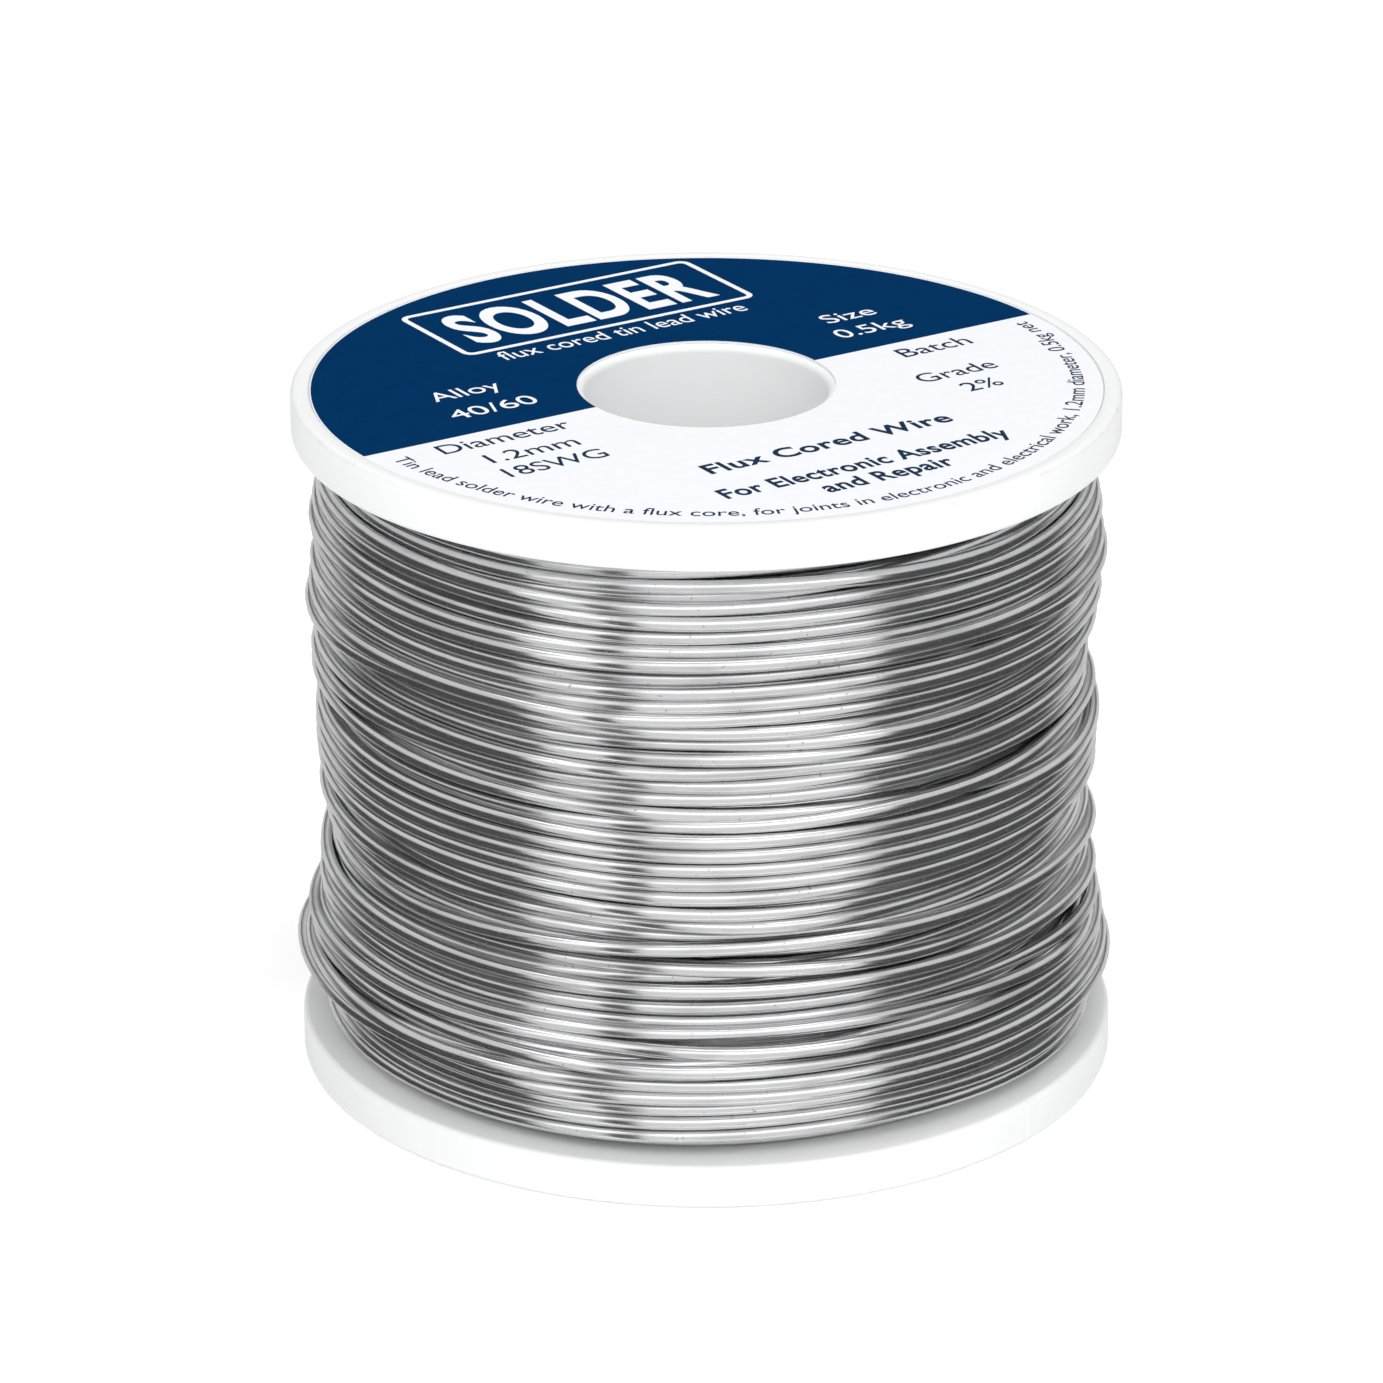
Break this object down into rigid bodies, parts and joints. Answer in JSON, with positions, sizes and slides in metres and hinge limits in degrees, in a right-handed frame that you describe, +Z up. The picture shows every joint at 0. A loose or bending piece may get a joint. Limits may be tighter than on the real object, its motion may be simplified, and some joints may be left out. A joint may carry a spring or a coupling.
{
  "type": "solder wire spool",
  "caption": "Spool of bright flux-cored solder wire on a white moulded reel with a spindle bore and a printed disc label.",
  "frame": {"origin": "centre of the reel's underside, on the surface it stands on", "axes": "+Z up along the bore's axis; the mould's parting line crosses the rims on the +X -Y side and opposite"},
  "size_m": [0.068, 0.068, 0.0584],
  "materials": {
    "reel_plastic": "white moulded plastic, satin, slightly translucent",
    "label_paper": "printed paper label, half navy blue and half white",
    "solder_wire": "bright drawn tin-lead solder wire"
  },
  "bodies": {
    "root": {"reel": "reel_plastic", "top_label": "label_paper", "winding_layer_1": "solder_wire", "winding_layer_2": "solder_wire", "winding_layer_3": "solder_wire", "winding_layer_4": "solder_wire", "winding_layer_5": "solder_wire", "winding_layer_6": "solder_wire", "winding_layer_7": "solder_wire", "winding_layer_8": "solder_wire"}
  },
  "joints": []
}
